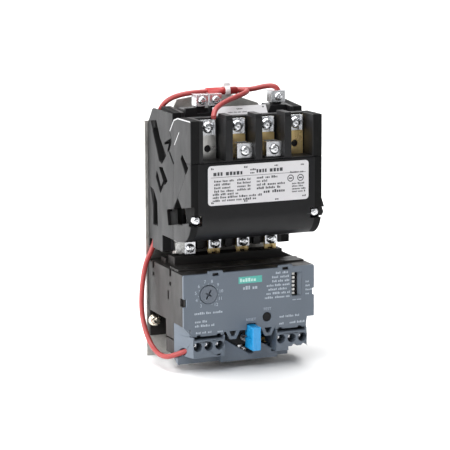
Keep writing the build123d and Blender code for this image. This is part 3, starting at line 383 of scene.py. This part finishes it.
# ---------------------------------------------------------------- leads
LEAD = 3.3                       # outer diameter
SPLICE = (-13, 7)                # both ends of the splice sleeve in X
RISE = [(-39.7, 56.4, 14.6), (-42.2, 54.7, 13.5), (-46.3, 51.2, 11.2), (-49.0, 43.6, 8.4),
        (-50.2, 32.5, 8.0), (-51.0, 21.4, 12.0), (-51.6, 12.6, 20.0), (-51.9, 7.6, 30.4),
        (-51.4, 6.3, 41.4), (-50.1, 5.8, 52), (-47.9, 5.6, 62.6), (-43.4, 5.4, 71.0),
        (-40.9, 5.6, 77.4), (-40.8, 5.8, 99), (-40.8, 6.0, 118), (-40.8, 6.2, 136),
        (-40.8, 7.4, 149), (-40.6, 12.2, 160.8), (-38.4, 17.0, 167.4), (-34.2, 21.0, 171),
        (-28, 23.6, 173), (-20, 26, 174), (SPLICE[0], 26, 174)]
TO_COIL = [(SPLICE[1], 24.2, 174), (12, 24.2, 174), (18.4, 26.0, 174), (24.4, 29, 175.8),
           (29, 32, 176.6), (32.2, 34, 175.4), (33.0, 34.5, 172.6)]
TO_AUXILIARY = [(SPLICE[1], 27.8, 174), (10.6, 27.8, 174), (12.6, 31.2, 174), (10.6, 35.2, 173.6),
                (5.6, 39.4, 172.8), (-1.6, 43.6, 171.6), (-8.6, 47.8, 170.2), (-15, 52.4, 168.6),
                (-19.8, 57.2, 167), (-22.8, 61.4, 165.1), (-24.2, 63.9, 162.6)]


def lead(name, points, node):
    """Lead as one smooth curve along its route."""
    curve = bpy.data.curves.new(name, "CURVE")
    curve.dimensions = "3D"
    curve.bevel_depth = LEAD / 2 * MM
    curve.bevel_resolution = 6
    curve.resolution_u = 10
    curve.use_fill_caps = True
    spline = curve.splines.new("NURBS")
    spline.points.add(len(points) - 1)
    for point, place in zip(spline.points, points):
        point.co = (*at(*place), 1)
    spline.order_u = 3
    spline.use_endpoint_u = True
    piece = bpy.data.objects.new(name, curve)
    bpy.context.scene.collection.objects.link(piece)
    curve.materials.append(LOOKS["lead_red"])
    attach(piece, "base")
    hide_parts(node)


lead("long_lead", RISE, "lead_to_relay")
lead("coil_lead", TO_COIL, "lead_to_coil")
lead("auxiliary_lead", TO_AUXILIARY, "lead_to_auxiliary")


# ---------------------------------------------------------------- printing and painted edge highlights
class Sheet:
    """Flat printed marks, or flat painted highlights, on a plane: right and up are unit vectors, measures are
    millimetres.
    """

    def __init__(self, origin, right, up):
        self.origin, self.right, self.up = origin, Vector(right), Vector(up)
        self.points, self.faces = [], []

    def add(self, flat, faces):
        """Faces on points given as right and up."""
        start = len(self.points)
        for x, y in flat:
            self.points.append(self.origin + self.right * x * MM + self.up * y * MM)
        self.faces += [tuple(start + i for i in face) for face in faces]

    def bar(self, x, y, width, height):
        """Bar from its left end and middle height."""
        low, high = y - height / 2, y + height / 2
        self.add([(x, low), (x + width, low), (x + width, high), (x, high)], [(0, 1, 2, 3)])

    def words(self, x, y, width, height, seed):
        """Line of short bars that stands for small print."""
        luck = random.Random(seed)
        end = x + width
        while x < end - height:
            word = min(luck.uniform(1.6, 4.8) * height, end - x)
            letter = x
            while letter < x + word - 0.2 * height:
                stroke = min(luck.uniform(0.35, 0.75) * height, x + word - letter)
                tall = height * luck.choice((0.7, 0.75, 1.0))
                self.bar(letter, y - (height - tall) / 2, stroke, tall)
                letter += stroke + 0.22 * height
            x += word + 0.75 * height

    def ring(self, x, y, outer, inner, steps=40):
        """Ring from its middle."""
        flat, faces = [], []
        for i in range(steps + 1):
            turn = math.radians(360 * i / steps)
            for radius in (outer, inner):
                flat.append((x + radius * math.sin(turn), y + radius * math.cos(turn)))
        for i in range(steps):
            faces.append((2 * i, 2 * i + 1, 2 * i + 3, 2 * i + 2))
        self.add(flat, faces)

    def disc(self, x, y, radius, steps=24):
        """Round dot from its middle."""
        turns = [math.radians(360 * i / steps) for i in range(steps)]
        self.add([(x + radius * math.cos(t), y + radius * math.sin(t)) for t in turns],
                 [tuple(range(steps))])

    def text(self, x, y, body, size, spacing=1.0):
        """Generic lettering, centred on a point; size is about 1.4 times the height of a capital."""
        curve = bpy.data.curves.new("lettering", "FONT")
        curve.body = body
        curve.size = size
        curve.align_x = "CENTER"
        curve.align_y = "CENTER"
        curve.space_character = spacing
        curve.resolution_u = 3
        thing = bpy.data.objects.new("lettering", curve)
        bpy.context.scene.collection.objects.link(thing)
        bpy.context.view_layer.update()
        mesh = bpy.data.meshes.new_from_object(thing)
        self.add([(x + v.co.x, y + v.co.y) for v in mesh.vertices],
                 [tuple(p.vertices) for p in mesh.polygons])
        bpy.data.objects.remove(thing)
        bpy.data.curves.remove(curve)
        bpy.data.meshes.remove(mesh)

    def finish(self, name, look):
        """The marks as one piece that rides on the fixed body."""
        mesh = bpy.data.meshes.new(name)
        mesh.from_pydata([tuple(p) for p in self.points], [], self.faces)
        mesh.materials.append(look)
        piece = bpy.data.objects.new(name, mesh)
        bpy.context.scene.collection.objects.link(piece)
        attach(piece, "base")


ACROSS, UPWARD = (1, 0, 0), (0, 0, 1)
PROUD = 0.03                     # ink stands this far off its surface

# nameplate on the arc cover: bold line, blocks of small print, two ringed marks, and small marks along
# the top and bottom edges
PLATE_FACE = 75.9
small = Sheet(at(0, PLATE_FACE + PROUD, 0), ACROSS, UPWARD)
small.words(-29.5, 129.4, 22, 3.0, 1)
small.words(-4.8, 130.6, 3.8, 1.2, 2)
small.words(-4.8, 128.6, 3.0, 1.2, 3)
small.words(-0.6, 129.8, 18.5, 2.9, 4)
for row in range(4):
    small.words(-29, 124.6 - 2.1 * row, 13, 1.35, 10 + row)
for row in range(4):
    small.words(-13.6, 124.8 - 2.1 * row, 9, 1.3, 20 + row)
for row in range(4):
    small.words(-0.4, 125.2 - 2.2 * row, (14, 7, 19, 16)[row], 1.45, 30 + row)
for row in range(3):
    small.words(-30, 116.4 - 1.95 * row, (17, 33, 29)[row], 1.4, 40 + row)
small.words(4.2, 116.2, 17, 1.9, 51)
small.words(22.4, 127.2, 9, 1.2, 52)
for row in range(4):
    small.words(23.6, 120.0 - 1.7 * row, 9.4, 1.15, 60 + row)
for x, height in ((-31, 132.4), (-9, 132.4), (11.6, 132.3), (29.6, 131.8),
                  (-31, 111.2), (-9, 111.2), (12.0, 111.0), (30.6, 112.0)):
    small.words(x, height, 2.4, 1.2, int(x) + 300)
small.bar(-31, 126.9, 64, 0.25)
for x in (22.6, 29.4):
    small.ring(x, 123.4, 2.2, 1.65)
    small.bar(x - 1.1, 123.4, 2.2, 0.8)
small.finish("nameplate_print", INK_DARK)

# relay cover: numbers and ticks round the dial, then the print beside the controls
FACE = 63.5
legend = Sheet(at(0, FACE + PROUD, 0), ACROSS, UPWARD)
DIAL = (-28.1, 51.1)             # its axis, as X and height
FIRST_NUMBER, NUMBER_STEP = -144, 32  # degrees, clockwise from the top
NUMBERS_ACROSS, NUMBERS_UP = 8.7, 8.5  # half-axes of the oval that the numbers stand on
TICKS_OUT, TICK_WIDTH, TICK_HEIGHT = 6.8, 0.28, 0.6
for count, number in enumerate(range(3, 13)):
    turn = math.radians(FIRST_NUMBER + NUMBER_STEP * count)
    legend.text(DIAL[0] + NUMBERS_ACROSS * math.sin(turn), DIAL[1] + NUMBERS_UP * math.cos(turn),
                str(number), 2.9)
    turn += math.radians(NUMBER_STEP / 2)
    legend.bar(DIAL[0] + TICKS_OUT * math.sin(turn) - TICK_WIDTH / 2, DIAL[1] + TICKS_OUT * math.cos(turn),
               TICK_WIDTH, TICK_HEIGHT)
legend.words(-37.6, 39.5, 20, 1.5, 70)
legend.words(-37.3, 34.2, 8, 1.5, 71)
legend.words(-37.3, 31.5, 13, 1.5, 72)
legend.words(-36.7, 27.1, 10.4, 1.3, 73)
legend.words(-22.0, 26.9, 3.4, 1.3, 74)
legend.text(12.1, 38.3, "TEST", 2.4, 1.1)
legend.text(0.9, 32.4, "RESET", 2.4, 1.1)
for row in range(7):
    legend.words((18.1, 15.5, 15.6, 11.8, 13.0, 11.6, 10.5)[row], 61.1 - 2.6 * row,
                 (9.6, 12.2, 12.1, 16, 14.8, 16.2, 17.4)[row], 1.45, 80 + row)
for row in range(4):
    legend.words(38.9, 53.8 - 2.6 * row, (2.6, 3.0, 4.4, 2.8)[row], 1.2, 91 + row)
legend.words(29.9, 42.8, 7, 0.8, 96)
legend.words(20.7, 32.5, 16, 1.4, 97)
legend.words(20.5, 28.0, 3, 1.4, 98)
legend.words(27.8, 28.1, 10.5, 1.4, 99)
legend.words(-4.5, 53.2, 10, 2.3, 100)
legend.finish("cover_print", INK_LIGHT)

badge = Sheet(at(0, FACE + PROUD, 0), ACROSS, UPWARD)
badge.bar(-7.6, 58.3, 16.1, 4.3)
badge.finish("cover_badge", INK_TEAL)
badge_words = Sheet(at(0, FACE + 2 * PROUD, 0), ACROSS, UPWARD)
badge_words.words(-6.6, 58.3, 13.4, 2.3, 103)
badge_words.finish("cover_badge_print", INK_PALE_TEAL)

# painted highlights on the left flank: pale strips along two moulded edges stand in for the light those edges
# catch
FLANK = -44.3
HIGHLIGHT_HALF_WIDTH = 0.36                      # half the width of a painted edge highlight
flank = Sheet(at(FLANK - PROUD, 0, 0), (0, -1, 0), UPWARD)
for ends in ([(41.0, 152.4), (47.9, 160.0), (54.5, 161.9), (75.2, 162.1)], [(48.7, 144.8), (56.6, 153.6)]):
    for one, two in zip(ends, ends[1:]):
        along = Vector((two[0] - one[0], two[1] - one[1])).normalized() * HIGHLIGHT_HALF_WIDTH
        flank.add([(one[0] - along.y, one[1] + along.x), (one[0] + along.y, one[1] - along.x),
                   (two[0] + along.y, two[1] - along.x), (two[0] - along.y, two[1] + along.x)],
                  [(0, 1, 2, 3)])
flank.finish("flank_painted_highlights", EDGE_HIGHLIGHT_PAINT)

# coil label: a dot near each top corner and faint print, on its sloping face
LABEL_FOOT, LABEL_TOP = (46.2, 158.5), (41.2, 165.9)  # depth and height of the face's edges
slope_up = (at(0, *LABEL_TOP) - at(0, *LABEL_FOOT)).normalized()
slope_out = Vector((0, -slope_up.z, slope_up.y))
origin = at(0, *LABEL_FOOT) + slope_out * PROUD * MM
dots = Sheet(origin, ACROSS, slope_up)
for x in (-13.4, 18.8):
    dots.disc(x, 7.4, 0.6)
dots.words(0.5, 6.8, 5, 0.9, 110)
dots.words(-6, 4.6, 14, 0.8, 111)
dots.finish("coil_label_print", INK_DARK)

# ---------------------------------------------------------------- studio
def sheet_light(name, place, aim, size, power):
    """Soft rectangular lamp that faces a point."""
    lamp = bpy.data.lights.new(name, "AREA")
    lamp.shape = "RECTANGLE"
    lamp.size, lamp.size_y = size
    lamp.energy = power
    thing = bpy.data.objects.new(name, lamp)
    thing.location = place
    thing.rotation_mode = "QUATERNION"
    thing.rotation_quaternion = (Vector(place) - Vector(aim)).to_track_quat("Z", "Y")
    bpy.context.scene.collection.objects.link(thing)


FLOOR = PLATE_FOOT * MM - 0.0002  # just below the plate's bottom edge
middle = (0, -0.03, 0.09)
sheet_light("key", (-0.75, -0.85, 1.05), middle, (0.7, 0.7), 7.5)
sheet_light("left", (-1.1, -0.05, 0.35), middle, (0.9, 1.1), 16)
sheet_light("right", (1.0, -0.7, 0.5), middle, (0.5, 0.9), 2.2)
sheet_light("top", (0.0, 0.1, 1.3), middle, (1.2, 0.9), 11)

world = bpy.data.worlds.new("world")
world.use_nodes = True
back = world.node_tree.nodes["Background"]
back.inputs["Color"].default_value = (0.95, 0.97, 1.0, 1)
back.inputs["Strength"].default_value = 0.22
bpy.context.scene.world = world

# floor that curves up into a backdrop behind the part
FLOOR_FRONT, FLOOR_BACK, FLOOR_SIDE = -2.5, 1.0, 3.5
CURVE_RADIUS, CURVE_STEPS, BACKDROP_TOP = 0.8, 12, 3.5
mesh = bpy.data.meshes.new("floor")
form = bmesh.new()
rows = []
profile = [(FLOOR_FRONT, 0.0), (FLOOR_BACK, 0.0)]
for i in range(1, CURVE_STEPS + 1):
    turn = math.radians(90 * i / CURVE_STEPS)
    profile.append((FLOOR_BACK + CURVE_RADIUS * math.sin(turn), CURVE_RADIUS - CURVE_RADIUS * math.cos(turn)))
profile.append((FLOOR_BACK + CURVE_RADIUS, BACKDROP_TOP))
for y, z in profile:
    rows.append([form.verts.new((x, y, FLOOR + z)) for x in (-FLOOR_SIDE, FLOOR_SIDE)])
for low, high in zip(rows, rows[1:]):
    form.faces.new((low[0], low[1], high[1], high[0]))
form.to_mesh(mesh)
form.free()
mesh.polygons.foreach_set("use_smooth", [True] * len(mesh.polygons))
pale, tree, shader, place = nodes_of("floor_pale")
tree.links.new(ramp(tree, noise(tree, place, 3, 3), (0.86, 0.86, 0.86), (0.9, 0.9, 0.9)),
               shader.inputs["Base Color"])
shader.inputs["Roughness"].default_value = 0.9
shader.inputs["Specular IOR Level"].default_value = 0.1
mesh.materials.append(pale)
floor = bpy.data.objects.new("floor", mesh)
bpy.context.scene.collection.objects.link(floor)
sheet_light("backdrop", (0.0, 0.35, 1.6), (0, 1.8, 0.6), (2.0, 0.8), 46)

bpy.context.scene.view_settings.view_transform = "Standard"
